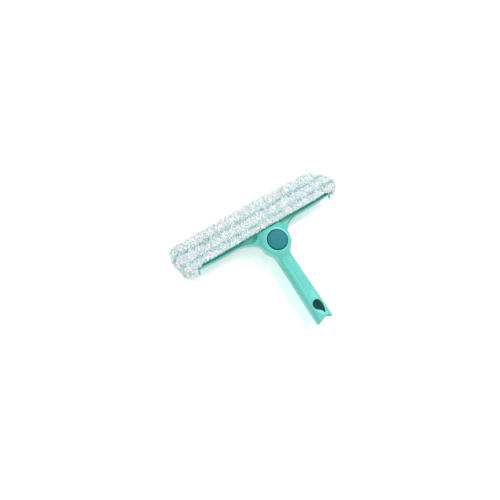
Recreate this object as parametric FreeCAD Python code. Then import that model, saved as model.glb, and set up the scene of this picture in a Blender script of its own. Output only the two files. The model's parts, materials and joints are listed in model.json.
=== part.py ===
"""Window cleaning squeegee with a push-on washer pad, modelled as separate pieces.

Row frame, in millimetres. The origin is the centre of the pole socket's mouth. +Y runs from the
mouth along the handle to the head, +X runs along the head, and +Z points out of the button's side.
The head leans back from the handle: its own directions are x (along the head), s (from the near
edge to the far edge) and h (out of the pad's face).
"""
import FreeCAD, Part

import math
import os

V = FreeCAD.Vector

# ---------------------------------------------------------------- driving dimensions
HUB_Y = 134.0                  # hub centre, measured from the socket's mouth
TAIL_Y = -8.0                  # tips of the fish-tail end of the handle
HEAD_TILT = 20.0               # degrees that the head leans back from the handle
HEAD_Y = HUB_Y + 26.0          # near edge of the crossbar's top face
HEAD_Z = 4.0

HANDLE_HALF_WIDTH = 14.0       # at the tail
HANDLE_ROOT_HALF_WIDTH = 12.6  # at the hub
HANDLE_HALF_DEPTH = 13.7
HANDLE_CORNER = 12.4
HANDLE_ROOT_HALF_DEPTH = 9.0
HANDLE_WALL = 2.4
POLE_RADIUS = 10.8             # bore for a nominal 21 mm pole
LINER_RADIUS = 11.8
SOCKET_DEPTH = 60.0
SOCKET_FLOOR = 2.0
NOTCH_DEPTH = 6.0              # depth of the V between the two tail tips
WINDOW_RADIUS = 7.4            # round end of the teardrop click window
WINDOW_Y = 19.8                # centre of that round end
WINDOW_TIP_X = 2.2
WINDOW_TIP_Y = 2.8

ARM_TIP_X = 126.0
ARM_TIP_Y = 23.8               # near edge of an arm at its tip, from the hub centre
ARM_MIDDLE_X = 95.0
ARM_MIDDLE_Y = 21.8
ARM_BEND_X = 62.0
ARM_BEND_Y = 21.6
ARM_BACK_Y = 29.0
ARM_TOP_Z = 7.0
ARM_ROOT_TOP_Z = 12.5
ARM_BOTTOM_Z = -4.0
ARM_ROOT_BOTTOM_Z = -8.0
LUG_THICKNESS = 3.4
LUG_NEAR_S = -2.9
LUG_WIDTH = 6.0
LUG_TOP_H = 1.5
LUG_BOTTOM_H = -15.4
GROOVE_FLOOR_Z = 3.4           # floor of the sunk panel in each arm's top
GROOVE_END_X = 104.0

HUB_RADIUS = 24.2
HUB_TOP_Z = 21.8
HUB_BACK_Z = -12.5
CAVITY_RADIUS = 17.8
CAVITY_FLOOR_Z = -10.2
CAVITY_ROOF_Z = 13.0
BUTTON_HOLE = 16.3
BUTTON_RADIUS = 15.3
BUTTON_TOP_Z = 24.0
CAM_LEG_X = 10.0               # the two slanted cam legs stand this far from the middle
BOLT_TOP_Z = -2.0
BOLT_BOTTOM_Z = -7.2
BOLT_NOSE_Y = 23.2

BAR_HALF_LENGTH = 119.8        # crossbar plate
BAR_DEPTH = 40.0
BAR_THICKNESS = 3.5
CHANNEL_S = 34.0               # line of the rubber blade across the head
CHANNEL_HALF_WIDTH = 4.2
CHANNEL_BOTTOM_H = -12.5
BLADE_TIP_H = -24.0
BLADE_HALF_LENGTH = 123.4
CLIP_THICKNESS = 3.0

CARRIER_H = 3.4                # back face of the washer's carrier above the crossbar
CARRIER_TOP_H = 7.0
CARRIER_NEAR_S = 6.0
CARRIER_FAR_S = 35.0
CARRIER_HALF_LENGTH = 126.0
CARRIER_CORNER = 13.5          # how far its two far corners are cut back
HOOK_THICKNESS = 0.8
CAP_INNER_X = 126.8
CAP_THICKNESS = 1.6
CAP_BLOCK_X = 118.0
CAP_SCREW_X = 122.0
FOAM_BOTTOM_H = 7.3
FOAM_TOP_H = 20.2
PANEL_HALF_LENGTH = 128.6
SLEEVE_END_GAP = 0.1
SLEEVE_LEFT_X = -147.0
SLEEVE_RIGHT_X = 134.0
PEG_X = 72.0
PEG_S = 20.0
PEG_RADIUS = 2.5
TONGUE_HALF_WIDTH = 7.5

FIT = 0.35                     # free gap around a piece that slides
SCREW_RADIUS = 1.5
SCREW_HEAD_RADIUS = 2.9
SCREW_HEAD_HEIGHT = 2.0
CAP_SCREW_HEAD_HEIGHT = 1.1
HANDLE_SCREW_Y = 84.0
ARM_SCREW_X = 36.0
ARM_SCREW_Y = 21.0             # from the hub centre
SHELL_SCREW_LENGTHS = (15.0, 7.4, 7.4)
CROSSBAR_SCREW_X = (-100.0, -36.0, 36.0, 100.0)
CROSSBAR_SCREW_SEAT_H = -2.2
FAR = 400.0                    # longer than the whole object, for cutting tools

UP = V(0, 0, 1)
HEAD = FreeCAD.Placement(V(0, HEAD_Y, HEAD_Z), FreeCAD.Rotation(V(1, 0, 0), -HEAD_TILT))


# ---------------------------------------------------------------- helpers
def box(x0, x1, y0, y1, z0, z1):
    """Block between two corners."""
    return Part.makeBox(x1 - x0, y1 - y0, z1 - z0, V(x0, y0, z0))


def rod(radius, start, along):
    """Round bar from start, as long as the vector along."""
    return Part.makeCylinder(radius, along.Length, start, along)


def at_hub(shape):
    """Move a shape drawn about the hub's centre to its place."""
    return shape.translated(V(0, HUB_Y, 0))


def in_head(shape):
    """Move a shape drawn in the head's own x, s, h directions to its place."""
    moved = shape.copy()
    moved.Placement = HEAD.multiply(moved.Placement)
    return moved


def mirrored(shape):
    """The same shape on the other side of the middle plane."""
    return shape.mirror(V(0, 0, 0), V(1, 0, 0))


def join(shapes):
    """One solid from overlapping or touching solids."""
    whole = shapes[0].multiFuse(shapes[1:]) if len(shapes) > 1 else shapes[0]
    return whole.removeSplitter()


def polygon(points):
    """Closed flat face through the points."""
    return Part.Face(Part.makePolygon(points + [points[0]]))


def smooth_edge(points):
    """One smooth curve through the points."""
    curve = Part.BSplineCurve()
    curve.interpolate(points)
    return curve.toShape()


def along_x(face, x0, x1):
    """Prism of a face drawn at x = 0, from x0 to x1."""
    return face.translated(V(x0, 0, 0)).extrude(V(x1 - x0, 0, 0))


def rounded_section(y, half_width, half_depth, corner):
    """Rounded rectangle across the handle at y, as four lines and four arcs."""
    flat_x = half_width - corner
    flat_z = half_depth - corner
    edges = []
    for turn, (sx, sz) in enumerate(((1, 1), (-1, 1), (-1, -1), (1, -1))):
        centre = V(sx * flat_x, y, sz * flat_z)
        first, middle, last = [
            centre + V(math.cos(a) * corner, 0, math.sin(a) * corner)
            for a in (turn * math.pi / 2, (turn + 0.5) * math.pi / 2, (turn + 1) * math.pi / 2)]
        edges.append(Part.Arc(first, middle, last).toShape())
    wire_edges = []
    for index, arc in enumerate(edges):
        wire_edges.append(arc)
        following = edges[(index + 1) % len(edges)]
        wire_edges.append(Part.makeLine(arc.Vertexes[-1].Point, following.Vertexes[0].Point))
    return Part.Wire(Part.__sortEdges__(wire_edges))


def keep(shape, node):
    """Write one node, after checking that its solids are sound."""
    if not shape.isValid():
        raise ValueError(node + " is not a valid shape")
    shape.exportStep("parts/" + node + ".step")
    print(node, len(shape.Solids), "solid(s)", round(shape.Volume, 1), "mm3")


# ---------------------------------------------------------------- outer form of handle, hub and arms
def handle_half_depth(y):
    """Half the handle's depth at y: even along the socket, then falling to the hub."""
    along = max(0.0, (y - SOCKET_DEPTH) / (HUB_Y - SOCKET_DEPTH))
    return HANDLE_HALF_DEPTH + along * (HANDLE_ROOT_HALF_DEPTH - HANDLE_HALF_DEPTH)


def handle_half_width(y):
    """Half the handle's width at y, falling evenly from the tail to the hub."""
    along = (y - TAIL_Y) / (HUB_Y - TAIL_Y)
    return HANDLE_HALF_WIDTH + along * (HANDLE_ROOT_HALF_WIDTH - HANDLE_HALF_WIDTH)


def handle_form(inset=0.0, start=TAIL_Y, end=HUB_Y - 12.0):
    """Rounded handle, a little narrower and shallower towards the hub."""
    sections = []
    for share in (0.0, 0.5, 1.0):
        y = start + share * (end - start)
        half_width = handle_half_width(y) - inset
        half_depth = handle_half_depth(y) - inset
        corner = min(HANDLE_CORNER - inset, half_depth - 1.0, half_width - 1.0)
        sections.append(rounded_section(y, half_width, half_depth, corner))
    return Part.makeLoft(sections, True, False)


def arm_plan():
    """Plan of the two arms and the flare into the handle, about the hub centre."""
    near_edge = [
        V(ARM_TIP_X, ARM_BACK_Y, 0), V(ARM_TIP_X, ARM_TIP_Y, 0), V(ARM_MIDDLE_X, ARM_MIDDLE_Y, 0),
        V(ARM_BEND_X, ARM_BEND_Y, 0)]
    sweep_middle = V(28.9, 8.4, 0)
    sweep_end = V(15.0, -24.5, 0)
    neck = V(11.6, -60.0, 0)

    def half(sign):
        back, tip, middle, bend, sweep, low, low_end = [
            V(sign * p.x, p.y, 0) for p in near_edge + [sweep_middle, sweep_end, neck]]
        return [
            Part.makeLine(back, tip), Part.makeLine(tip, middle), Part.makeLine(middle, bend),
            Part.Arc(bend, sweep, low).toShape(), Part.makeLine(low, low_end)]

    edges = half(1) + half(-1)
    edges.append(Part.makeLine(V(neck.x, neck.y, 0), V(-neck.x, neck.y, 0)))
    edges.append(Part.makeLine(V(ARM_TIP_X, ARM_BACK_Y, 0), V(-ARM_TIP_X, ARM_BACK_Y, 0)))
    return Part.Face(Part.Wire(Part.__sortEdges__(edges)))


def arm_height_profile():
    """Front view of the arms: deep at the hub, thinner towards the tips."""
    top = smooth_edge([
        V(-ARM_TIP_X, 0, ARM_TOP_Z), V(-80, 0, ARM_TOP_Z + 0.4), V(-40, 0, ARM_TOP_Z + 3.2),
        V(0, 0, ARM_ROOT_TOP_Z), V(40, 0, ARM_TOP_Z + 3.2), V(80, 0, ARM_TOP_Z + 0.4),
        V(ARM_TIP_X, 0, ARM_TOP_Z)])
    bottom = smooth_edge([
        V(-ARM_TIP_X, 0, ARM_BOTTOM_Z), V(-60, 0, ARM_BOTTOM_Z - 1.6),
        V(0, 0, ARM_ROOT_BOTTOM_Z), V(60, 0, ARM_BOTTOM_Z - 1.6), V(ARM_TIP_X, 0, ARM_BOTTOM_Z)])
    right = Part.makeLine(V(ARM_TIP_X, 0, ARM_TOP_Z), V(ARM_TIP_X, 0, ARM_BOTTOM_Z))
    left = Part.makeLine(V(-ARM_TIP_X, 0, ARM_TOP_Z), V(-ARM_TIP_X, 0, ARM_BOTTOM_Z))
    return Part.Face(Part.Wire(Part.__sortEdges__([top, right, bottom, left])))


def arm_form():
    """Arms with their sweep into the handle."""
    plan = arm_plan().translated(V(0, 0, -FAR / 2)).extrude(V(0, 0, FAR))
    front = arm_height_profile().translated(V(0, -FAR / 2, 0)).extrude(V(0, FAR, 0))
    side = polygon([V(0, 60, 28), V(0, -8, 10), V(0, -60, 2), V(0, -60, -2), V(0, -8, -9), V(0, 60, -28)])
    fade = along_x(side, -FAR / 2, FAR / 2)
    form = plan.common(front).common(fade)
    return at_hub(form)


def turned(points, curve_at):
    """Solid of revolution about the hub's axis; points are (radius, z), one stretch is an arc."""
    nodes = [V(r, 0, z) for r, z in points]
    edges = []
    index = 0
    while index < len(nodes) - 1:
        if index in curve_at:
            edges.append(Part.Arc(nodes[index], nodes[index + 1], nodes[index + 2]).toShape())
            index += 2
        else:
            edges.append(Part.makeLine(nodes[index], nodes[index + 1]))
            index += 1
    edges.append(Part.makeLine(nodes[-1], nodes[0]))
    return Part.Face(Part.Wire(edges)).revolve(V(0, 0, 0), V(0, 0, 1), 360)


def hub_form():
    """Raised round hub for the button, with a lower dome behind."""
    points = [
        (0, HUB_BACK_Z), (HUB_RADIUS - 7, HUB_BACK_Z), (HUB_RADIUS - 4.3, HUB_BACK_Z + 1.2),
        (HUB_RADIUS - 3.2, HUB_BACK_Z + 4.0), (HUB_RADIUS - 3.0, 0), (HUB_RADIUS - 1.6, 5.5),
        (HUB_RADIUS, 12.5), (HUB_RADIUS - 1.3, 17.8), (HUB_RADIUS - 5.6, HUB_TOP_Z - 0.3),
        (BUTTON_HOLE + 0.9, HUB_TOP_Z), (0, HUB_TOP_Z)]
    dome = turned(points, curve_at=(1, 4, 6))
    return at_hub(dome)


def lug_form():
    """End lug that turns down from an arm's tip, square to the crossbar."""
    lug = box(
        ARM_TIP_X - LUG_THICKNESS, ARM_TIP_X, LUG_NEAR_S, LUG_NEAR_S + LUG_WIDTH, LUG_BOTTOM_H, LUG_TOP_H)
    lug = lug.makeFillet(1.2, [e for e in lug.Edges if abs(e.Vertexes[0].Z - e.Vertexes[-1].Z) > 1])
    return in_head(lug)


def outer_form():
    body = join([handle_form(), arm_form(), hub_form()])
    return join([body, lug_form(), mirrored(lug_form())])


# ---------------------------------------------------------------- hollows in the shells
def socket_hollow():
    """Room for the pole socket's liner, open at the tail."""
    depth = SOCKET_DEPTH + SOCKET_FLOOR - TAIL_Y
    return rod(LINER_RADIUS, V(0, TAIL_Y - 1, 0), V(0, depth + 1, 0))


def handle_hollow():
    """Hollow between the socket and the hub, with the screw boss left standing."""
    start = SOCKET_DEPTH + SOCKET_FLOOR + 4.0
    hollow = handle_form(HANDLE_WALL, start, HUB_Y - CAVITY_RADIUS - 7.0)
    boss = rod(4.0, V(0, HANDLE_SCREW_Y, -FAR / 2), V(0, 0, FAR))
    return hollow.cut(boss)


def hub_hollow():
    """Cavity for the latch and the button, and the button's hole."""
    cavity = rod(CAVITY_RADIUS, V(0, 0, CAVITY_FLOOR_Z), V(0, 0, CAVITY_ROOF_Z - CAVITY_FLOOR_Z))
    hole = rod(BUTTON_HOLE, V(0, 0, CAVITY_ROOF_Z - 1), V(0, 0, HUB_TOP_Z))
    return at_hub(join([cavity, hole]))


def nose_way():
    """Slot that lets the latch's nose reach the washer's tongue."""
    half = 5.0 + FIT
    return at_hub(box(-half, half, 10, 26, BOLT_BOTTOM_Z + 0.7 - FIT, BOLT_TOP_Z - 0.5 + FIT))


def tongue_pocket():
    """Open pocket that the washer's tongue drops into."""
    half = TONGUE_HALF_WIDTH + 0.8
    return in_head(box(-half, half, 0.7, 4.9, -13.2, 14))


def pad_room():
    """Room for the washer's near side and the way it lifts off."""
    outline = polygon([
        V(0, 5.6, 0.3), V(0, 1.9, 3.95), V(0, -5.0, 10.1), V(0, -10.6, 18.4), V(0, -10.6, 60),
        V(0, 60, 60), V(0, 60, 0.3)])
    return in_head(along_x(outline, -FAR / 2, FAR / 2))


def tail_notch():
    """V between the two tail tips, with slightly bowed edges."""
    left = V(-HANDLE_HALF_WIDTH - 0.5, TAIL_Y - 0.2, -FAR / 2)
    right = V(HANDLE_HALF_WIDTH + 0.5, TAIL_Y - 0.2, -FAR / 2)
    root = V(0, TAIL_Y + NOTCH_DEPTH, -FAR / 2)
    bow = 0.7
    left_bow = V(-HANDLE_HALF_WIDTH / 2, TAIL_Y + NOTCH_DEPTH / 2 + bow, -FAR / 2)
    right_bow = V(HANDLE_HALF_WIDTH / 2, TAIL_Y + NOTCH_DEPTH / 2 + bow, -FAR / 2)
    edges = [
        Part.Arc(left, left_bow, root).toShape(), Part.Arc(root, right_bow, right).toShape(),
        Part.makeLine(right, right - V(0, 5, 0)), Part.makeLine(right - V(0, 5, 0), left - V(0, 5, 0)),
        Part.makeLine(left - V(0, 5, 0), left)]
    return Part.Face(Part.Wire(edges)).extrude(V(0, 0, FAR))


def click_window():
    """Teardrop window through the front wall: a round end, and a tip towards the mouth."""
    centre = V(0, WINDOW_Y, 0)
    tip = V(WINDOW_TIP_X, WINDOW_TIP_Y, 0)
    start = centre + V(-WINDOW_RADIUS, 0, 0)
    top = centre + V(0, WINDOW_RADIUS, 0)
    end = centre + V(WINDOW_RADIUS, 0, 0)
    flank_y = (WINDOW_Y + WINDOW_TIP_Y) / 2
    left_flank = V(-WINDOW_RADIUS * 0.72, flank_y, 0)
    right_flank = V(WINDOW_RADIUS * 0.92, flank_y, 0)
    edges = [
        Part.Arc(start, top, end).toShape(), Part.Arc(end, right_flank, tip).toShape(),
        Part.Arc(tip, left_flank, start).toShape()]
    face = Part.Face(Part.Wire(edges))
    return face.translated(V(0, 0, 2)).extrude(V(0, 0, 30))


def arm_groove(sign):
    """Sunk panel in an arm's top, between its near rim and the crossbar, widening to the hub."""
    rim = 4.6
    back = ARM_BACK_Y + 1
    outer_back = V(GROOVE_END_X, back, 0)
    outer_near = V(GROOVE_END_X, ARM_MIDDLE_Y + rim, 0)
    bend = V(ARM_BEND_X, ARM_BEND_Y + rim - 1.0, 0)
    corner = V(33, 15.5, 0)
    inner_back = V(24.5, back, 0)
    edges = [
        Part.makeLine(outer_back, outer_near), Part.makeLine(outer_near, bend),
        Part.Arc(bend, V(44, 20.2, 0), corner).toShape(),
        Part.Arc(corner, V(28.5, 18.5, 0), inner_back).toShape(), Part.makeLine(inner_back, outer_back)]
    face = Part.Face(Part.Wire(Part.__sortEdges__(edges)))
    cutter = face.translated(V(0, 0, GROOVE_FLOOR_Z)).extrude(V(0, 0, 30))
    if sign < 0:
        cutter = mirrored(cutter)
    return at_hub(cutter)


def grip_ribs():
    """Row of shallow cross grooves in the handle's front, for the thumb."""
    grooves = []
    count = 9
    pitch = 5.0
    half_length = 6.5
    radius = 0.8
    for index in range(count):
        y = 55.0 + index * pitch
        above = handle_half_depth(y) + 0.35
        grooves.append(rod(radius, V(-half_length, y, above), V(2 * half_length, 0, 0)))
    return grooves


def shell_screw_places():
    """Foot of each shell screw's head, and the depth it reaches."""
    return [
        V(0, HANDLE_SCREW_Y, -8.8), V(ARM_SCREW_X, HUB_Y + ARM_SCREW_Y, -5.4),
        V(-ARM_SCREW_X, HUB_Y + ARM_SCREW_Y, -5.4)]


def screw(place, axis, length):
    """Pan-head screw: place is where the head meets the seat, axis points to its tip."""
    head = rod(SCREW_HEAD_RADIUS, place, axis * -SCREW_HEAD_HEIGHT)
    head = head.makeFillet(0.6, [e for e in head.Edges if e.CenterOfMass.sub(place).dot(axis) < -1.0
                                 and abs(e.Length - 2 * math.pi * SCREW_HEAD_RADIUS) < 0.1])
    slot_at = place + axis * (-SCREW_HEAD_HEIGHT)
    shank = rod(SCREW_RADIUS, place, axis * length)
    recess = rod(0.9, slot_at, axis * 1.0)
    slot = Part.makeBox(3.4, 0.8, 1.0, V(-1.7, -0.4, 0))
    slot.Placement = FreeCAD.Placement(slot_at, FreeCAD.Rotation(V(0, 0, 1), axis))
    cross = slot.copy()
    cross.rotate(slot_at, axis, 90)
    return join([head, shank]).cut(join([recess, slot, cross]))


def screw_hole(place, axis, length, head_room):
    """Hole for one screw, with a counterbore as deep as head_room."""
    return join([
        rod(SCREW_RADIUS, place, axis * length),
        rod(SCREW_HEAD_RADIUS + 0.3, place, axis * -head_room)])


def shell_screw_holes():
    return [
        screw_hole(place, UP, length, 12.0)
        for place, length in zip(shell_screw_places(), SHELL_SCREW_LENGTHS)]


# ---------------------------------------------------------------- the frame's pieces
def crossbar():
    """Leaning plate under the pad, with its root block between the shells and ribs behind."""
    half = BAR_HALF_LENGTH
    plate = in_head(box(-half, half, 1.0, BAR_DEPTH, -BAR_THICKNESS, 0))
    flange = at_hub(box(-half + 2, half - 2, 25.6, ARM_BACK_Y, -2.4, 2.2))
    root = at_hub(box(-22, 22, 19.5, ARM_BACK_Y, -6.9, 2.2))
    spine = in_head(box(-12, 12, 0.0, CHANNEL_S - CHANNEL_HALF_WIDTH, -11.5, -BAR_THICKNESS))
    ribs = []
    rib_thickness = 2.0
    for x in (-104, -78, -52, -26, 26, 52, 78, 104):
        ribs.append(in_head(box(
            x - rib_thickness / 2, x + rib_thickness / 2, 6.0, CHANNEL_S - CHANNEL_HALF_WIDTH, -8.0,
            -BAR_THICKNESS)))
    bar = join([plate, flange, root, spine] + ribs)
    room_above = box(-FAR, FAR, HUB_Y, HUB_Y + ARM_BACK_Y, 2.2, FAR)
    bar = bar.cut(room_above).cut(tongue_pocket()).cut(nose_way())
    for sign in (-1, 1):
        foot = V(sign * PEG_X, PEG_S, -BAR_THICKNESS - 1)
        bar = bar.cut(in_head(rod(PEG_RADIUS + FIT, foot, V(0, 0, BAR_THICKNESS + 2))))
    for hole in crossbar_screw_holes():
        bar = bar.cut(hole)
    return bar.cut(at_hub(rod(CAVITY_RADIUS + 1.0, V(0, 0, -FAR / 2), V(0, 0, FAR))))


def crossbar_screw_holes():
    """Holes for the screws that hold the blade channel, counterbored in the plate's top."""
    holes = []
    for x in CROSSBAR_SCREW_X:
        holes.append(in_head(join([
            rod(SCREW_RADIUS, V(x, CHANNEL_S, -5.3), V(0, 0, 6)),
            rod(SCREW_HEAD_RADIUS + 0.3, V(x, CHANNEL_S, CROSSBAR_SCREW_SEAT_H), V(0, 0, 6))])))
    return holes


def crossbar_screws():
    screws = []
    for x in CROSSBAR_SCREW_X:
        screws.append(in_head(screw(V(x, CHANNEL_S, CROSSBAR_SCREW_SEAT_H), -UP, 3.0)))
    return Part.makeCompound(screws)


def blade_channel():
    """Rail under the crossbar with a keyhole slot for the rubber's bead."""
    half = BAR_HALF_LENGTH
    rail = box(
        -half, half, CHANNEL_S - CHANNEL_HALF_WIDTH, CHANNEL_S + CHANNEL_HALF_WIDTH, CHANNEL_BOTTOM_H,
        -BAR_THICKNESS)
    lower = [e for e in rail.Edges if e.Length > half and e.Vertexes[0].Z < CHANNEL_BOTTOM_H + 0.1]
    rail = rail.makeFillet(1.4, lower)
    bead = rod(2.5, V(-half - 1, CHANNEL_S, -9.0), V(2 * half + 2, 0, 0))
    slit = box(-half - 1, half + 1, CHANNEL_S - 1.2, CHANNEL_S + 1.2, CHANNEL_BOTTOM_H - 1, -9.0)
    rail = in_head(rail.cut(bead).cut(slit))
    for hole in crossbar_screw_holes():
        rail = rail.cut(hole)
    return rail


def squeegee_blade():
    """Rubber strip: round bead in the channel, thin lip below."""
    bead = rod(2.3, V(-BAR_HALF_LENGTH + 0.3, CHANNEL_S, -9.0), V(2 * BAR_HALF_LENGTH - 0.6, 0, 0))
    neck = box(-BAR_HALF_LENGTH + 0.3, BAR_HALF_LENGTH - 0.3, CHANNEL_S - 1.0, CHANNEL_S + 1.0, -14.6, -9.0)
    lip = box(-BLADE_HALF_LENGTH, BLADE_HALF_LENGTH, CHANNEL_S - 1.0, CHANNEL_S + 1.0, BLADE_TIP_H, -14.6)
    return in_head(join([bead, neck, lip]))


def end_clip(sign):
    """Clip over the end of the crossbar and its channel, which keeps the rubber in."""
    x0 = BAR_HALF_LENGTH
    clip = box(x0, x0 + CLIP_THICKNESS, CHANNEL_S - 7.5, BAR_DEPTH + 0.6, -14.2, 0.4)
    outer = [e for e in clip.Edges if e.Vertexes[0].X > x0 + 1 and e.Vertexes[-1].X > x0 + 1]
    clip = clip.makeFillet(1.2, outer)
    clip = in_head(clip)
    return clip if sign > 0 else mirrored(clip)


def shells():
    """Front and rear shell of the handle, hub and arms, split on the middle plane."""
    form = outer_form()
    cutters = [
        socket_hollow(), handle_hollow(), hub_hollow(), nose_way(), tongue_pocket(), tail_notch(),
        pad_room(), click_window(), arm_groove(1), arm_groove(-1)]
    for cutter in cutters + grip_ribs() + shell_screw_holes():
        form = form.cut(cutter)
    form = form.cut(CROSSBAR)
    front = form.common(box(-FAR, FAR, -FAR, FAR, 0, FAR))
    rear = form.common(box(-FAR, FAR, -FAR, FAR, -FAR, 0))
    return front.removeSplitter(), rear.removeSplitter()


def shell_screws():
    return Part.makeCompound([
        screw(place, UP, length) for place, length in zip(shell_screw_places(), SHELL_SCREW_LENGTHS)])


def pole_socket():
    """Liner of the pole socket, closed at the bottom, with the click window through its wall."""
    tube = rod(LINER_RADIUS, V(0, 0, 0), V(0, SOCKET_DEPTH + SOCKET_FLOOR, 0))
    bore = rod(POLE_RADIUS, V(0, -1, 0), V(0, SOCKET_DEPTH + 1, 0))
    return tube.cut(bore).cut(click_window())


def button_gasket():
    """Splash ring around the button, held in the hub's hole."""
    ring = rod(BUTTON_HOLE, V(0, 0, CAVITY_ROOF_Z + 2.0), V(0, 0, 2.2))
    return at_hub(ring.cut(rod(BUTTON_RADIUS + FIT, V(0, 0, CAVITY_ROOF_Z), V(0, 0, 8))))


def latch_guide():
    """Floor plate of the cavity with two rails for the latch and a post for the spring."""
    floor_top = BOLT_BOTTOM_Z - FIT
    floor = rod(CAVITY_RADIUS, V(0, 0, CAVITY_FLOOR_Z), V(0, 0, floor_top - CAVITY_FLOOR_Z))
    rails = [box(12.3 + FIT, 14.6, -9, 9, floor_top, BOLT_TOP_Z + 0.5)]
    rails.append(mirrored(rails[0]))
    post = rod(2.6, V(0, 0, floor_top), V(0, 0, 4.0))
    return at_hub(join([floor, post] + rails))


# ---------------------------------------------------------------- button, spring and latch
def cam_leg(clearance, z0, z1):
    """Slanted bar at 45 degrees: going down by its travel drives the latch back by the same."""
    half = 1.0 + clearance
    shift = 1.414 * clearance
    near, far = -2.0 - shift, 4.0 + shift
    face = polygon([V(0, near - z0, z0), V(0, far - z0, z0), V(0, far - z1, z1), V(0, near - z1, z1)])
    return along_x(face, CAM_LEG_X - half, CAM_LEG_X + half)


def release_button():
    """Domed round button with its stop flange, spring seat and two cam legs."""
    dome = turned([
        (0, 20.0), (13.2, 20.0), (13.2, 12.4), (BUTTON_RADIUS, 12.4), (BUTTON_RADIUS, BUTTON_TOP_Z - 1.6),
        (BUTTON_RADIUS - 0.9, BUTTON_TOP_Z - 0.7), (9, BUTTON_TOP_Z - 0.15), (0, BUTTON_TOP_Z)], ())
    flange = rod(CAVITY_RADIUS - 0.6, V(0, 0, 9.6), V(0, 0, 2.9)).cut(rod(6.5, V(0, 0, 9), V(0, 0, 4)))
    seat = rod(6.6, V(0, 0, 12.0), V(0, 0, 8.2)).cut(rod(5.4, V(0, 0, 11), V(0, 0, 7.0)))
    legs = [cam_leg(0.0, -4.2, 9.8)]
    legs.append(mirrored(legs[0]))
    return at_hub(join([dome, flange, seat] + legs))


def button_spring():
    """Coil spring between the guide's floor and the button's seat."""
    wire = 0.55
    coil = 4.3
    low = BOLT_BOTTOM_Z - FIT + wire
    high = 18.0 - wire
    turns = 7
    helix = Part.makeHelix((high - low) / turns, high - low, coil)
    profile = Part.Wire(Part.makeCircle(wire, V(coil, 0, 0), V(0, 1, 0)))
    spring = Part.Wire(helix.Edges).makePipeShell([profile], True, True)
    return at_hub(spring.translated(V(0, 0, low)))


def latch_bolt():
    """Sliding latch: a frame around the spring with two cam slots, and a nose to the washer."""
    half = 12.3
    frame = box(-half, half, -8.2, 12.0, BOLT_BOTTOM_Z, BOLT_TOP_Z)
    frame = frame.cut(box(-6.0, 6.0, -5.4, 8.4, BOLT_BOTTOM_Z - 1, BOLT_TOP_Z + 1))
    nose = box(-5.0, 5.0, 11.0, BOLT_NOSE_Y, BOLT_BOTTOM_Z + 0.7, BOLT_TOP_Z - 0.5)
    slot = cam_leg(FIT, BOLT_BOTTOM_Z - 1, BOLT_TOP_Z + 1)
    bolt = join([frame, nose]).cut(slot).cut(mirrored(slot))
    return at_hub(bolt)


# ---------------------------------------------------------------- the washer's pieces
def carrier_plan(margin=0.0):
    """Plan of the carrier's plate, with its far corners cut back, at h = 0."""
    half = CARRIER_HALF_LENGTH + margin
    near, far = CARRIER_NEAR_S - margin, CARRIER_FAR_S + margin
    inner, corner = CARRIER_HALF_LENGTH - CARRIER_CORNER, CARRIER_FAR_S - CARRIER_CORNER
    return polygon([
        V(-half, near, 0), V(half, near, 0), V(half, corner, 0), V(inner, far, 0), V(-inner, far, 0),
        V(-half, corner, 0)])


def pad_carrier():
    """Stiff plate of the washer, with two pegs, cap screw holes and the latch tongue."""
    plate = carrier_plan().translated(V(0, 0, CARRIER_H)).extrude(V(0, 0, CARRIER_TOP_H - CARRIER_H))
    root = box(-TONGUE_HALF_WIDTH, TONGUE_HALF_WIDTH, 1.5, CARRIER_NEAR_S + 1, 4.4, CARRIER_TOP_H)
    tongue = box(-TONGUE_HALF_WIDTH, TONGUE_HALF_WIDTH, 1.5, 4.0, -12.6, 4.5)
    window = box(-5.6, 5.6, 0, 6, -10.8, -5.0)
    pegs = [
        rod(PEG_RADIUS, V(sign * PEG_X, PEG_S, -2.0), V(0, 0, CARRIER_H + 2.2)) for sign in (-1, 1)]
    carrier = join([plate, root, tongue] + pegs).cut(window)
    for place in cap_screw_places():
        carrier = carrier.cut(screw_hole(place, UP, 9.0, 2.0))
    return in_head(carrier)


def cap_screw_places():
    return [
        V(sign * CAP_SCREW_X, s, CARRIER_H + 1.2) for sign in (-1, 1) for s in (10.8, 18.6)]


def cap_screws():
    screws = []
    for place in cap_screw_places():
        head = rod(SCREW_HEAD_RADIUS, place, UP * -CAP_SCREW_HEAD_HEIGHT)
        cross = join([
            Part.makeBox(3.4, 0.8, 0.7, place + V(-1.7, -0.4, -CAP_SCREW_HEAD_HEIGHT)),
            Part.makeBox(0.8, 3.4, 0.7, place + V(-0.4, -1.7, -CAP_SCREW_HEAD_HEIGHT))])
        screws.append(in_head(join([head, rod(SCREW_RADIUS, place, UP * 7.0)]).cut(cross)))
    return Part.makeCompound(screws)


def carrier_cap(sign):
    """End cap of the washer: a rounded cheek outside the frame, and a block on the carrier."""
    outline = [V(0, 1, -7), V(0, 17, -7), V(0, 21, -3), V(0, 21, 18), V(0, -2.5, 18), V(0, -2.5, 4)]
    cheek = along_x(polygon(outline), CAP_INNER_X, CAP_INNER_X + CAP_THICKNESS)
    cheek = cheek.makeFillet(2.4, [e for e in cheek.Edges if abs(e.Length - CAP_THICKNESS) < 0.01])
    block = box(CAP_BLOCK_X, CAP_INNER_X + 0.5, 7, 20.8, CARRIER_TOP_H, 15)
    cap = join([cheek, block])
    for place in cap_screw_places():
        if place.x > 0:
            cap = cap.cut(rod(SCREW_RADIUS, place, UP * 9.0))
    cap = in_head(cap)
    return cap if sign > 0 else mirrored(cap)


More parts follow.
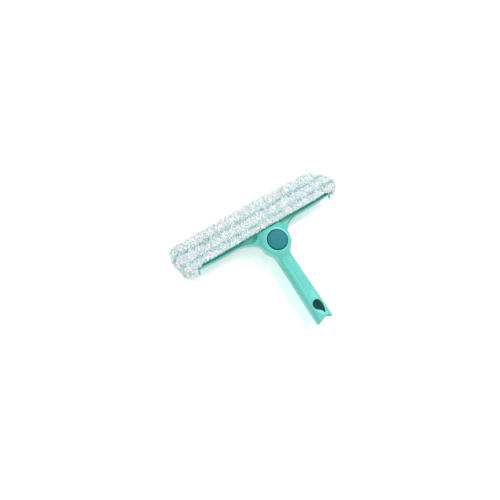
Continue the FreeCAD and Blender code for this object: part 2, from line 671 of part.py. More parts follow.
def foam_face():
    """Crowned section of the foam core."""
    crown = smooth_edge([
        V(0, 7, FOAM_BOTTOM_H), V(0, 1.4, 11.0), V(0, -3.2, 16.0), V(0, 0.5, 19.0),
        V(0, 16, FOAM_TOP_H), V(0, 32, 19.0), V(0, 36.2, 15.5), V(0, 35.6, 10.0), V(0, 33, FOAM_BOTTOM_H)])
    return Part.Face(Part.Wire([crown, Part.makeLine(V(0, 33, FOAM_BOTTOM_H), V(0, 7, FOAM_BOTTOM_H))]))


def foam_core():
    """Foam under the pile, between the caps' blocks."""
    half = CAP_BLOCK_X - 0.4
    return in_head(along_x(foam_face(), -half, half))


def panel_face():
    """Outer section of the pile sleeve along its middle."""
    pile = smooth_edge([
        V(0, 6.6, 1.2), V(0, 2.6, 4.9), V(0, -4.2, 11.0), V(0, -9.0, 18.5), V(0, -5.2, 24.0), V(0, 4.0, 25.4),
        V(0, 16.5, 25.9), V(0, 30.0, 25.4), V(0, 38.6, 23.6), V(0, 41.6, 17.5), V(0, 41.0, 8.5),
        V(0, 38.0, 3.0), V(0, 33.5, 1.2)])
    return Part.Face(Part.Wire([pile, Part.makeLine(V(0, 33.5, 1.2), V(0, 6.6, 1.2))]))


def far_corner():
    """What the right end's large rounding takes off the sleeve's far corner."""
    start = V(SLEEVE_RIGHT_X + 1, 12, -FAR / 2)
    middle = V(127.6, 32.5, -FAR / 2)
    end = V(110, 44.5, -FAR / 2)
    beyond = V(SLEEVE_RIGHT_X + 1, 44.5, -FAR / 2)
    edges = [Part.Arc(start, middle, end).toShape(), Part.makeLine(end, beyond), Part.makeLine(beyond, start)]
    return Part.Face(Part.Wire(edges)).extrude(V(0, 0, FAR))


def sleeve_panel():
    """Pile sleeve around the foam and the carrier, open along the back."""
    half = PANEL_HALF_LENGTH
    foam_half = CAP_BLOCK_X + 0.2
    flap_bottom = CARRIER_H - HOOK_THICKNESS
    carrier_room = carrier_plan(0.25).translated(V(0, 0, flap_bottom))
    rooms = [
        along_x(foam_face(), -foam_half, foam_half),
        carrier_room.extrude(V(0, 0, CARRIER_TOP_H + 0.2 - flap_bottom)),
        box(CAP_BLOCK_X - 0.4, half + 1, -4.0, 22.0, -8, 18.4),
        box(-half - 1, 0.4 - CAP_BLOCK_X, -4.0, 22.0, -8, 18.4),
        box(-half - 1, half + 1, 10, 30, 0, CARRIER_H + 0.1),
        box(-TONGUE_HALF_WIDTH - 1.5, TONGUE_HALF_WIDTH + 1.5, -4, 10.5, 0, CARRIER_TOP_H + 0.6)]
    sleeve = along_x(panel_face(), -half, half)
    for room in rooms:
        sleeve = sleeve.cut(room)
    return in_head(sleeve.cut(far_corner()))


def sleeve_end(inner_x, outer_x):
    """Soft rounded end of the sleeve, deeper than the head so that it wraps over its end."""
    low, high = sorted((inner_x, outer_x))
    end = box(low, high, -11.5, 43.5, -12.0, 25.6)
    far_side = [
        e for e in end.Edges
        if abs(e.Vertexes[0].X - outer_x) < 0.1 and abs(e.Vertexes[-1].X - outer_x) < 0.1]
    along = [e for e in end.Edges if abs(e.Vertexes[0].X - e.Vertexes[-1].X) > 1.0]
    rounding = min(7.5, (high - low) * 0.62)
    end = end.makeFillet(rounding, along + far_side)
    return in_head(end.cut(far_corner()))


def hook_strips():
    """Hook-and-loop strips that hold the sleeve's flaps to the carrier's back."""
    strips = []
    for x0, x1 in ((-112, -12), (12, 112)):
        for s0, s1 in ((6.6, 9.6), (30.4, 34.6)):
            strips.append(in_head(box(x0, x1, s0, s1, CARRIER_H - HOOK_THICKNESS, CARRIER_H)))
    return Part.makeCompound(strips)


# ---------------------------------------------------------------- build
os.makedirs("parts", exist_ok=True)

CROSSBAR = crossbar()
FRONT_SHELL, REAR_SHELL = shells()

keep(FRONT_SHELL, "front_shell")
keep(REAR_SHELL, "rear_shell")
keep(CROSSBAR, "crossbar")
keep(blade_channel(), "blade_channel")
keep(squeegee_blade(), "squeegee_blade")
keep(end_clip(-1), "left_end_clip")
keep(end_clip(1), "right_end_clip")
keep(pole_socket(), "pole_socket")
keep(button_gasket(), "button_gasket")
keep(latch_guide(), "latch_guide")
keep(shell_screws(), "shell_screws")
keep(crossbar_screws(), "crossbar_screws")
keep(release_button(), "release_button")
keep(button_spring(), "button_spring")
keep(latch_bolt(), "latch_bolt")
keep(pad_carrier(), "pad_carrier")
keep(carrier_cap(-1), "left_carrier_cap")
keep(carrier_cap(1), "right_carrier_cap")
keep(cap_screws(), "cap_screws")
keep(foam_core(), "foam_core")
keep(sleeve_panel(), "sleeve_panel")
keep(sleeve_end(-PANEL_HALF_LENGTH - SLEEVE_END_GAP, SLEEVE_LEFT_X), "left_sleeve_end")
keep(sleeve_end(PANEL_HALF_LENGTH + SLEEVE_END_GAP, SLEEVE_RIGHT_X), "right_sleeve_end")
keep(hook_strips(), "hook_strips")
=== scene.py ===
"""Looks of a window cleaning squeegee with a push-on washer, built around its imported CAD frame.

Meshes are in metres. The forms below are worked out in millimetres, as fields of distances on a
regular grid that are then skinned, because soft moulded fillets and a plump pile sleeve come easily
from them. The row frame is the CAD's: the origin is the centre of the pole socket's mouth, +Y runs
to the head, +X along the head and +Z out of the button's side. The head has its own directions:
x along it, s from its near edge to its far edge, and h out of the pad's face.
"""

import json
import math

import bpy
import numpy as np
import openvdb
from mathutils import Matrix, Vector, noise


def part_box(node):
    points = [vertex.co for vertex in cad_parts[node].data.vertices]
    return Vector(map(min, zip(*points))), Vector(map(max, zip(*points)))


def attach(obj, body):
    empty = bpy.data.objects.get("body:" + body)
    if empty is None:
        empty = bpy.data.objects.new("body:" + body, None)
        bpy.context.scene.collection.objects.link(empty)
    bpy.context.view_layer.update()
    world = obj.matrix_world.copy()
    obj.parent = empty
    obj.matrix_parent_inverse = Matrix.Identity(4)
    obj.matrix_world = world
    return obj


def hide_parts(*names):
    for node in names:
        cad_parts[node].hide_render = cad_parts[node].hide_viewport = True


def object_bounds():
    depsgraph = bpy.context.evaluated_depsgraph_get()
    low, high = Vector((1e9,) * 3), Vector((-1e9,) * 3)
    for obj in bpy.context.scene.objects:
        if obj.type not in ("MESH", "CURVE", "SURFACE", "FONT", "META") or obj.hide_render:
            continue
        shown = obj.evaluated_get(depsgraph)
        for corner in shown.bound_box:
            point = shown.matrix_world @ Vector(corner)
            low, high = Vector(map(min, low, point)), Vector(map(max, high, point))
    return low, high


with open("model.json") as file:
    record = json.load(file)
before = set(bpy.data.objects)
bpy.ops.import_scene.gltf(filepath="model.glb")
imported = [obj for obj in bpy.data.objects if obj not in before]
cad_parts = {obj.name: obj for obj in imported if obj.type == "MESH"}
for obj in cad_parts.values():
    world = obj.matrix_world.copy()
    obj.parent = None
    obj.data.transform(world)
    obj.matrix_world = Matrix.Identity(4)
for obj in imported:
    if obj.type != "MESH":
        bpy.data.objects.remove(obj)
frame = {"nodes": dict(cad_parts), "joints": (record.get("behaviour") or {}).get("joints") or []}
CAD_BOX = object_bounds()
MM = 0.001
SEED = 20261
noise.seed_set(SEED)                      # vector noise takes its offsets from the clock otherwise

# ---------------------------------------------------------------- places that come from the frame
BUTTON_LOW, BUTTON_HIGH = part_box("release_button")
HUB_Y = (BUTTON_LOW.y + BUTTON_HIGH.y) / 2 / MM
TAIL_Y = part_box("front_shell")[0].y / MM
LINER_END_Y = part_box("pole_socket")[1].y / MM
LINER_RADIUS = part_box("pole_socket")[1].x / MM
LIFT = next(j for j in frame["joints"] if j["name"] == "washer_lift")
HEAD_TILT = math.atan2(LIFT["axis"][1], LIFT["axis"][2])
HEAD_FROM_HUB = 26.0
HEAD_Y = HUB_Y + HEAD_FROM_HUB        # the head's own origin in the row frame
HEAD_Z = 4.0
ARM_TIP_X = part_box("front_shell")[1].x / MM
BAR_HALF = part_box("crossbar")[1].x / MM
SLEEVE_LEFT_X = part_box("left_sleeve_end")[0].x / MM
SLEEVE_RIGHT_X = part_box("right_sleeve_end")[1].x / MM
FLOOR_Z = CAD_BOX[0].z


# ---------------------------------------------------------------- fields of distances
class Field:
    """Grid of points, as three arrays that broadcast against each other, in millimetres."""

    def __init__(self, low, high, step):
        self.low = np.array(low, float)
        self.step = step
        counts = [int(math.ceil((b - a) / step)) + 1 for a, b in zip(low, high)]
        axes = [a + step * np.arange(n, dtype=np.float32) for a, n in zip(low, counts)]
        self.x, self.y, self.z = np.ix_(*[axis.astype(np.float32) for axis in axes])
        self.shape = tuple(counts)


def union(a, b, soft):
    """Both solids, with a fillet about as wide as soft where they meet."""
    share = np.clip(0.5 + 0.5 * (b - a) / soft, 0.0, 1.0)
    return b + (a - b) * share - soft * share * (1.0 - share)


def cut(a, b, soft):
    """The first solid without the second, with its new edges rounded by about soft."""
    return -union(-a, b, soft)


def common(a, b, soft):
    """Where both solids are, with their new edges rounded by about soft."""
    return -union(-a, -b, soft)


def prism(outline, across, radius):
    """An outline's distance and a distance across it, met with a round edge."""
    a = outline + radius
    b = across + radius
    outside = np.sqrt(np.maximum(a, 0.0) ** 2 + np.maximum(b, 0.0) ** 2)
    return outside + np.minimum(np.maximum(a, b), 0.0) - radius


def block(x, y, z, low, high, radius=0.0):
    """Rounded block between two corners."""
    parts = []
    for value, a, b in zip((x, y, z), low, high):
        parts.append(np.abs(value - (a + b) / 2) - ((b - a) / 2 - radius))
    outside = np.sqrt(sum(np.maximum(p, 0.0) ** 2 for p in parts))
    inside = np.minimum(np.maximum(np.maximum(parts[0], parts[1]), parts[2]), 0.0)
    return outside + inside - radius


def polygon(px, py, points):
    """Signed distance to a closed outline, negative inside."""
    best = np.full(np.broadcast(px, py).shape, 1e9, np.float32)
    inside = np.zeros(best.shape, bool)
    for (ax, ay), (bx, by) in zip(points, points[1:] + points[:1]):
        ex, ey = bx - ax, by - ay
        wx, wy = px - ax, py - ay
        along = np.clip((wx * ex + wy * ey) / (ex * ex + ey * ey), 0.0, 1.0)
        best = np.minimum(best, (wx - ex * along) ** 2 + (wy - ey * along) ** 2)
        if ay != by:
            crossing = ((ay > py) != (by > py)) & (px < ax + (py - ay) * ex / ey)
            inside ^= crossing
    return np.where(inside, -1.0, 1.0).astype(np.float32) * np.sqrt(best)


def arc(a, b, c, count=9):
    """Points on the arc from a through b to c, without its last one."""
    (ax, ay), (bx, by), (cx, cy) = a, b, c
    d = 2 * (ax * (by - cy) + bx * (cy - ay) + cx * (ay - by))
    ux = ((ax**2 + ay**2) * (by - cy) + (bx**2 + by**2) * (cy - ay) + (cx**2 + cy**2) * (ay - by)) / d
    uy = ((ax**2 + ay**2) * (cx - bx) + (bx**2 + by**2) * (ax - cx) + (cx**2 + cy**2) * (bx - ax)) / d
    start, middle, end = (math.atan2(y - uy, x - ux) for x, y in (a, b, c))
    turn = (end - start) % (2 * math.pi)
    if (middle - start) % (2 * math.pi) > turn:
        turn -= 2 * math.pi
    radius = math.hypot(ax - ux, ay - uy)
    angles = [start + turn * i / count for i in range(count)]
    return [(ux + radius * math.cos(t), uy + radius * math.sin(t)) for t in angles]


def smooth_loop(points, count=5):
    """Closed smooth curve through the points."""
    loop = []
    n = len(points)
    for i in range(n):
        p0, p1, p2, p3 = (np.array(points[(i + k) % n], float) for k in (-1, 0, 1, 2))
        for t in np.arange(count) / count:
            loop.append(tuple(0.5 * (
                2 * p1 + (p2 - p0) * t + (2 * p0 - 5 * p1 + 4 * p2 - p3) * t**2
                + (3 * p1 - p0 - 3 * p2 + p3) * t**3)))
    return loop


def relax(points, quads):
    """Evens out the grid's small steps without shrinking the form."""
    a = quads.ravel()
    b = np.roll(quads, -1, axis=1).ravel()
    count = np.bincount(a, minlength=len(points)) + np.bincount(b, minlength=len(points))
    inward, outward = 0.5, -0.52
    for share in (inward, outward):
        total = np.stack([
            np.bincount(a, points[b, k], len(points)) + np.bincount(b, points[a, k], len(points))
            for k in range(3)], 1)
        points = points + share * (total / count[:, None] - points)
    return points


def skin(field, distance):
    """Points and quads of the surface where the distance is zero, in millimetres."""
    grid = openvdb.FloatGrid()
    grid.copyFromArray(np.array(np.broadcast_to(distance, field.shape), np.float32, order="C"))
    points, quads = grid.convertToQuads(0.0)
    points = field.low + points.astype(float) * field.step
    quads = quads.astype(np.int64)
    corners = points[quads[:, :3]]
    volume = np.einsum("ij,ij->i", corners[:, 0], np.cross(corners[:, 1], corners[:, 2])).sum()
    if volume < 0:
        quads = quads[:, ::-1]
    return relax(points, quads), quads


def mesh_object(name, points, faces, body, material, replaced=()):
    """New piece from points in millimetres, riding on a CAD body."""
    mesh = bpy.data.meshes.new(name)
    faces = np.asarray(faces)
    size = faces.shape[1]
    mesh.vertices.add(len(points))
    mesh.vertices.foreach_set("co", (np.asarray(points) * MM).astype(np.float32).ravel())
    mesh.loops.add(faces.size)
    mesh.loops.foreach_set("vertex_index", faces.astype(np.int32).ravel())
    mesh.polygons.add(len(faces))
    mesh.polygons.foreach_set("loop_start", np.arange(0, faces.size, size, dtype=np.int32))
    mesh.polygons.foreach_set("use_smooth", np.ones(len(faces), bool))
    mesh.update(calc_edges=True)
    mesh.validate()
    mesh.materials.append(material)
    piece = bpy.data.objects.new(name, mesh)
    bpy.context.scene.collection.objects.link(piece)
    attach(piece, body)
    if replaced:
        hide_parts(*replaced)
    return piece


def head_sh(y, z):
    """The head's own s and h of a point in the row frame."""
    c, s = math.cos(HEAD_TILT), math.sin(HEAD_TILT)
    return (y - HEAD_Y) * c - (z - HEAD_Z) * s, (y - HEAD_Y) * s + (z - HEAD_Z) * c


def from_head(points):
    """Row-frame points of x, s, h points."""
    c, s = math.cos(HEAD_TILT), math.sin(HEAD_TILT)
    x, along, out = points[:, 0], points[:, 1], points[:, 2]
    return np.stack([x, HEAD_Y + along * c + out * s, HEAD_Z - along * s + out * c], 1)


# ---------------------------------------------------------------- materials
class Shader:
    """Small helper that adds nodes to one material."""

    def __init__(self, name, roughness, specular=0.5):
        self.material = bpy.data.materials.new(name)
        self.material.use_nodes = True
        self.tree = self.material.node_tree
        self.surface = self.tree.nodes["Principled BSDF"]
        self.surface.inputs["Roughness"].default_value = roughness
        self.surface.inputs["Specular IOR Level"].default_value = specular

    def node(self, kind, values=(), **settings):
        """New node with its settings and its input values."""
        made = self.tree.nodes.new(kind)
        for key, value in settings.items():
            setattr(made, key, value)
        for key, value in dict(values).items():
            made.inputs[key].default_value = value
        return made

    def link(self, output, target):
        self.tree.links.new(output, target)

    def place(self):
        """Object coordinates, which are the row frame's, in metres."""
        return self.node("ShaderNodeTexCoord").outputs["Object"]

    def grain(self, scale, detail=2.0, rough=0.5, stretch=None):
        """Noise at a number of cells per metre."""
        noise_node = self.node("ShaderNodeTexNoise", {
            "Scale": scale, "Detail": detail, "Roughness": rough})
        where = self.place()
        if stretch:
            mapping = self.node("ShaderNodeMapping", {"Scale": stretch})
            self.link(where, mapping.inputs["Vector"])
            where = mapping.outputs["Vector"]
        self.link(where, noise_node.inputs["Vector"])
        return noise_node.outputs["Fac"]

    def ramp(self, value, stops):
        """Colour ramp over a value."""
        node = self.node("ShaderNodeValToRGB")
        self.link(value, node.inputs["Fac"])
        first, last = stops[0], stops[-1]
        node.color_ramp.elements[0].position = first[0]
        node.color_ramp.elements[0].color = (*first[1], 1.0)
        node.color_ramp.elements[1].position = last[0]
        node.color_ramp.elements[1].color = (*last[1], 1.0)
        for position, colour in stops[1:-1]:
            node.color_ramp.elements.new(position).color = (*colour, 1.0)
        return node.outputs["Color"]

    def scaled(self, value, low, high, out_low, out_high):
        """Value moved from one range to another, and kept inside it."""
        node = self.node("ShaderNodeMapRange", {
            "From Min": low, "From Max": high, "To Min": out_low, "To Max": out_high})
        self.link(value, node.inputs["Value"])
        return node.outputs["Result"]

    def mix(self, share, a, b, mode="MIX"):
        """Mix of two colours; each is a colour or an output."""
        node = self.node("ShaderNodeMix", data_type="RGBA", blend_type=mode)
        for socket, value in ((node.inputs[0], share), (node.inputs[6], a), (node.inputs[7], b)):
            if isinstance(value, (tuple, float)):
                socket.default_value = (*value, 1.0) if isinstance(value, tuple) else value
            else:
                self.link(value, socket)
        return node.outputs[2]

    def colour(self, output):
        self.link(output, self.surface.inputs["Base Color"])

    def rough(self, output):
        self.link(output, self.surface.inputs["Roughness"])

    def bump(self, height, distance):
        """Fine relief of a height between 0 and 1, distance metres deep."""
        node = self.node("ShaderNodeBump", {"Strength": 1.0, "Distance": distance})
        self.link(height, node.inputs["Height"])
        self.link(node.outputs["Normal"], self.surface.inputs["Normal"])


def moulded(name, dark, light, roughness):
    """Moulded plastic: slight clouding of the colour, fine erosion grain, uneven gloss."""
    clouds_per_m, grains_per_m, grain_depth = 34.0, 2600.0, 0.00004
    made = Shader(name, roughness)
    cloud = made.grain(clouds_per_m, 3.0)
    made.colour(made.ramp(cloud, [(0.3, dark), (0.7, light)]))
    fine = made.grain(grains_per_m, 2.0, 0.6)
    made.rough(made.scaled(fine, 0.3, 0.7, roughness - 0.05, roughness + 0.07))
    made.bump(fine, grain_depth)
    return made


def housing_material():
    """Turquoise plastic that light enters a little."""
    made = moulded("turquoise_plastic", (0.092, 0.470, 0.405), (0.106, 0.510, 0.442), 0.30)
    made.surface.inputs["Subsurface Weight"].default_value = 0.06
    made.surface.inputs["Subsurface Radius"].default_value = (0.4, 1.0, 0.9)
    made.surface.inputs["Subsurface Scale"].default_value = 0.002
    return made.material


def button_material():
    """Petrol soft-touch plastic with a fine leathery grain."""
    made = Shader("petrol_plastic", 0.55, 0.2)
    cells = made.node(
        "ShaderNodeTexVoronoi", {"Scale": 1100.0, "Randomness": 1.0}, feature="SMOOTH_F1")
    made.link(made.place(), cells.inputs["Vector"])
    leather = cells.outputs["Distance"]
    made.colour(made.ramp(leather, [(0.1, (0.006, 0.125, 0.160)), (0.7, (0.016, 0.190, 0.228))]))
    made.rough(made.scaled(leather, 0.1, 0.7, 0.42, 0.58))
    made.bump(leather, 0.00012)
    return made.material


def rubber_material(name, dark, light, roughness):
    """Rubber with a fine dust drawn out along the head."""
    made = Shader(name, roughness, 0.4)
    dust = made.grain(420.0, 4.0, 0.65, (0.25, 1.0, 1.0))
    made.colour(made.ramp(dust, [(0.35, dark), (0.75, light)]))
    made.rough(made.scaled(dust, 0.3, 0.7, roughness - 0.08, roughness + 0.08))
    made.bump(dust, 0.00005)
    return made.material


def steel_material():
    """Zinc-plated steel with turning marks."""
    made = Shader("zinc_steel", 0.32)
    made.surface.inputs["Metallic"].default_value = 1.0
    marks = made.grain(900.0, 3.0, 0.6, (1.0, 1.0, 6.0))
    made.colour(made.ramp(marks, [(0.3, (0.46, 0.46, 0.44)), (0.7, (0.62, 0.62, 0.60))]))
    made.rough(made.scaled(marks, 0.3, 0.7, 0.24, 0.40))
    made.bump(marks, 0.00003)
    return made.material


def foam_material():
    """Open-cell foam: pores with painted shade darkening them towards their middles, and soft clouding."""
    made = Shader("open_cell_foam", 0.95, 0.2)
    pores = made.node("ShaderNodeTexVoronoi", {"Scale": 700.0}, feature="F1")
    made.link(made.place(), pores.inputs["Vector"])
    # Painted shade: the colour darkens towards each pore's middle.
    made.colour(made.ramp(pores.outputs["Distance"], [
        (0.15, (0.42, 0.45, 0.44)), (0.6, (0.72, 0.74, 0.72))]))
    made.bump(pores.outputs["Distance"], 0.0004)
    return made.material


def hook_material():
    """Hook tape: rows of small hooks on a woven band, with painted shade darkening the band between the
    hooks.
    """
    made = Shader("hook_tape", 0.7, 0.3)
    rows = made.node("ShaderNodeTexVoronoi", {"Scale": 900.0, "Randomness": 0.35}, feature="F1")
    made.link(made.place(), rows.inputs["Vector"])
    # Painted shade: the colour darkens away from each hook, on the band between them.
    made.colour(made.ramp(rows.outputs["Distance"], [
        (0.1, (0.70, 0.73, 0.73)), (0.6, (0.36, 0.40, 0.41))]))
    made.bump(rows.outputs["Distance"], 0.0003)
    return made.material


def pile_material():
    """Marled microfibre: white yarn with two grey-turquoise stripes, paler at the fibres' ends because
    painted shade darkens it towards the roots and between the tufts.
    """
    shade = 0.78                          # how much light reaches the fibres' roots
    made = Shader("pile", 0.92, 0.15)
    made.surface.inputs["Sheen Weight"].default_value = 0.4
    made.surface.inputs["Sheen Roughness"].default_value = 0.5
    stripe = made.node("ShaderNodeAttribute", attribute_name="stripe").outputs["Fac"]
    height = made.node("ShaderNodeAttribute", attribute_name="height").outputs["Fac"]
    yarn = made.grain(330.0, 2.0, 0.7, (0.45, 1.0, 1.0))
    cloud = made.grain(90.0, 3.0, 0.6)
    white = made.ramp(cloud, [
        (0.30, (0.760, 0.890, 0.900)), (0.5, (0.860, 0.925, 0.930)), (0.7, (0.915, 0.905, 0.930))])
    tint = made.ramp(yarn, [
        (0.38, (0.26, 0.57, 0.57)), (0.50, (0.46, 0.73, 0.72)), (0.64, (0.72, 0.87, 0.87))])
    striped = made.mix(stripe, white, tint)
    # Painted shade: the colour is multiplied down where the height is low, at the fibres' roots and in the
    # gaps between the tufts.
    root_shaded = made.mix(1.0, striped, (shade, shade * 1.02, shade * 1.02), "MULTIPLY")
    made.colour(made.mix(height, root_shaded, striped))
    return made.material


# ---------------------------------------------------------------- housing of handle, hub and arms
TAIL_HALF_DEPTH = 13.7
DEPTH_LOSS = 4.7                          # what half the handle's depth loses from the liner to the hub
TAIL_HALF_WIDTH = 14.0
WIDTH_LOSS = 1.4                          # what half its width loses from the tail to the hub
HANDLE_CORNER = 11.6
SHELL_WALL = 2.4
HANDLE_SCREW_Y = 84.0
ARM_SCREW_X, ARM_SCREW_FROM_HUB = 36.0, 21.0


def handle_depth(y):
    """Half the handle's depth, which falls towards the hub."""
    start = LINER_END_Y - 2.0
    along = np.clip((y - start) / (HUB_Y - start), 0.0, 1.0)
    return TAIL_HALF_DEPTH - DEPTH_LOSS * along


def handle_width(y):
    """Half the handle's width, which falls evenly from the tail to the hub."""
    return TAIL_HALF_WIDTH - WIDTH_LOSS * (y - TAIL_Y) / (HUB_Y - TAIL_Y)


def handle_field(g, inset=0.0, start=TAIL_Y, end=HUB_Y - 6.0):
    """Rounded bar, narrower and shallower towards the hub."""
    depth = handle_depth(g.y) - inset
    width = handle_width(g.y) - inset
    corner = np.minimum(HANDLE_CORNER, depth - 1.2)
    a = np.abs(g.x) - (width - corner)
    b = np.abs(g.z) - (depth - corner)
    section = np.sqrt(np.maximum(a, 0) ** 2 + np.maximum(b, 0) ** 2)
    section = section + np.minimum(np.maximum(a, b), 0) - corner
    return prism(section, np.abs(g.y - (start + end) / 2) - (end - start) / 2, 0.8)


def arm_outline():
    """Plan of the arms and their sweep into the handle, about the hub's centre."""
    half = [(ARM_TIP_X, 29.0), (ARM_TIP_X, 23.8), (110.0, 22.4), (95.0, 21.6), (78.0, 21.3)]
    half += arc((62.0, 21.4), (26.0, 9.2), (9.4, -18.0), 14)
    half += [(9.4, -18.0), (4.0, -44.0)]
    return half + [(-x, y) for x, y in reversed(half)]


def arm_field(g):
    """Arms: deep at the hub, thinner towards the tips, fading into the handle."""
    y = g.y - HUB_Y
    plan = polygon(g.x, y, arm_outline())
    near_hub = np.exp(-((g.x / 32.0) ** 2))
    draft = 0.34                          # how far the flanks lean out, per height
    plan = plan - draft * np.clip(g.z, -6.0, 16.0) * near_hub
    top = np.minimum(7.0 + 12.5 * near_hub, np.interp(y, (-48, -20, 0, 60), (4, 9, 17, 30)))
    bottom = -4.4 - 4.0 * np.exp(-((g.x / 55.0) ** 2))
    bottom = np.maximum(bottom, np.interp(y, (-48, -8, 60), (-3, -9, -28)))
    across = np.abs(g.z - (top + bottom) / 2) - (top - bottom) / 2
    return prism(plan, across, 2.2)


def hub_field(g):
    """Raised round hub, widest below its rim, with a flat rounded back."""
    top, back = 21.8, -12.5
    radius = np.hypot(g.x, g.y - HUB_Y)
    wide = np.interp(g.z, (back, -8.0, 0.0, 6.0, 12.5, 22.0), (19.4, 19.6, 20.4, 22.4, 23.6, 22.6))
    return common(prism(radius - wide, g.z - top, 6.2), back - g.z, 3.0)


def saddle_field(g):
    """Ridge that lets the hub's top slope down into the handle's front."""
    y = g.y - HUB_Y
    top = np.interp(y, (-50.0, -36.0, -20.0, 0.0), (8.0, 12.6, 18.2, 20.6))
    return common(prism(np.abs(g.x) - 9.5, g.z - top, 7.0), np.abs(y + 25.0) - 25.0, 3.0)


def lug_field(g):
    """End lugs, square to the crossbar."""
    s, h = head_sh(g.y, g.z)
    return block(np.abs(g.x), s, h, (122.6, -2.9, -15.4), (ARM_TIP_X, 3.1, 1.5), 1.1)


def groove_field(g):
    """Sunk panel in each arm's top, behind its near rim, widening to the hub."""
    back = 32.0
    outline = [(120.0, back), (120.0, 26.6), (95.0, 24.4)]
    outline += arc((64.0, 24.0), (47.0, 21.3), (33.0, 15.6), 8)
    outline += arc((33.0, 15.6), (24.0, 19.4), (18.4, back), 6) + [(18.4, back)]
    floor = 3.9 + 4.2 * np.exp(-((g.x / 30.0) ** 2))
    return prism(polygon(np.abs(g.x), g.y - HUB_Y, outline), floor - g.z, 0.5)


def window_field(g):
    """Teardrop click window: a round end, and a tip towards the mouth beside its shelf."""
    centre_y, radius = 19.8, 7.4
    left, top, right = (-radius, centre_y), (0.0, centre_y + radius), (radius, centre_y)
    tip = (2.9, 2.9)
    outline = arc(left, top, right, 16)
    outline += arc(right, (radius * 0.95, 11.3), tip, 7)
    outline += [tip, (2.0, 5.4)] + arc((1.6, 6.6), (-1.4, 10.6), (-5.2, 13.0), 6)
    outline += [(-5.2, 13.0), (-6.8, 15.6)]
    return prism(polygon(g.x, g.y, outline), 2.0 - g.z, 0.1)


def shelf_depth(g):
    """Depth of the shelf on the window's near flank, which slopes in from the teardrop's outline."""
    slope_width, deepest = 2.2, 0.95
    flank = [(-7.2, 17.0)] + arc((-7.4, 15.0), (-5.6, 8.6), (2.2, 1.9), 7)
    flank += [(2.2, 1.9), (4.2, 6.0), (0.0, 15.0)]
    return np.clip(-polygon(g.x, g.y, flank) / slope_width, 0.0, 1.0) * deepest


def notch_field(g):
    """V between the two tail tips, with slightly bowed edges and its root right of the middle."""
    half, depth, bow = 14.6, 6.2, 0.5
    root_x = 4.6
    root = (root_x, TAIL_Y + depth)
    outline = arc((-half, TAIL_Y - 0.2), ((root_x - half) / 2, TAIL_Y + depth / 2 + bow), root, 6)
    outline += arc(root, ((root_x + half) / 2, TAIL_Y + depth / 2 + bow), (half, TAIL_Y - 0.2), 6)
    outline += [(half, TAIL_Y - 0.2), (half, TAIL_Y - 5.0), (-half, TAIL_Y - 5.0)]
    return polygon(g.x, g.y, outline)


def pad_room_field(g):
    """Room for the washer's near side and the way it lifts off."""
    s, h = head_sh(g.y, g.z)
    beyond = 70.0                         # further than the shells reach
    outline = [(5.6, 0.3), (1.9, 3.95), (-5.0, 10.1), (-10.6, 18.4)]
    outline += [(-10.6, beyond), (beyond, beyond), (beyond, 0.3)]
    return polygon(s, h, outline)


def grip_depth(g):
    """Depth of the sunk thumb panel on the handle's front, with cross ribs left standing in it."""
    start, end, pitch = 40.0, 108.0, 3.4
    deepest, rib_height = 1.3, 0.9
    plan = block(g.x, g.y, 0.0, (-5.8, start, -1.0), (5.8, end, 1.0), 0.9)
    ribs = np.clip(1.2 - np.abs((g.y - start) % pitch - pitch / 2), 0.0, 1.0) * (np.abs(g.x) < 4.6)
    ribs = ribs * (np.abs(g.y - (start + end) / 2) < (end - start) / 2 - 2.4)
    return np.clip(-plan / 1.2, 0.0, 1.0) * (deepest - rib_height * ribs)


def inner_fields(g):
    """Hollows of the shells, each with how softly it is cut.

    They are, in order: pole liner, handle, button and latch, button's hole, latch's nose, washer's
    tongue, crossbar's flange, its root, its plate, its spine, and the screws' counterbores.
    """
    y = g.y - HUB_Y
    radius = np.hypot(g.x, y)
    s, h = head_sh(g.y, g.z)
    across_socket = np.hypot(g.x, g.z)
    yield prism(across_socket - LINER_RADIUS - 0.05, g.y - LINER_END_Y, 0.1), 0.5
    boss = 4.0 - np.hypot(g.x, g.y - HANDLE_SCREW_Y)
    yield np.maximum(handle_field(g, SHELL_WALL, 66.0, HUB_Y - 24.8), boss), 0.8
    yield prism(radius - 17.85, np.abs(g.z - 1.4) - 11.6, 0.2), 0.4
    yield prism(radius - 16.3, 12.0 - g.z, 0.1), 1.6
    yield block(g.x, y, g.z, (-5.35, 10.0, -6.9), (5.35, 26.0, -2.1)), 0.3
    yield block(g.x, s, h, (-8.3, 0.7, -13.2), (8.3, 4.9, 14.0)), 0.5
    yield block(g.x, y, g.z, (-BAR_HALF, 25.5, -2.5), (BAR_HALF, 31.0, 2.3)), 0.3
    yield block(g.x, y, g.z, (-22.1, 19.4, -7.0), (22.1, 31.0, 2.3)), 0.3
    yield block(g.x, s, h, (-BAR_HALF - 0.2, 0.9, -3.6), (BAR_HALF + 0.2, 41.0, 0.3)), 0.3
    yield block(g.x, s, h, (-12.1, -0.1, -11.6), (12.1, 30.0, -3.4)), 0.3
    handle_screw = (0.0, HANDLE_SCREW_Y - HUB_Y, -8.8)
    arm_screws = [(sign * ARM_SCREW_X, ARM_SCREW_FROM_HUB, -5.4) for sign in (1, -1)]
    for x, from_hub, seat in [handle_screw] + arm_screws:
        yield prism(np.hypot(g.x - x, y - from_hub) - 3.2, g.z - seat, 0.1), 0.5


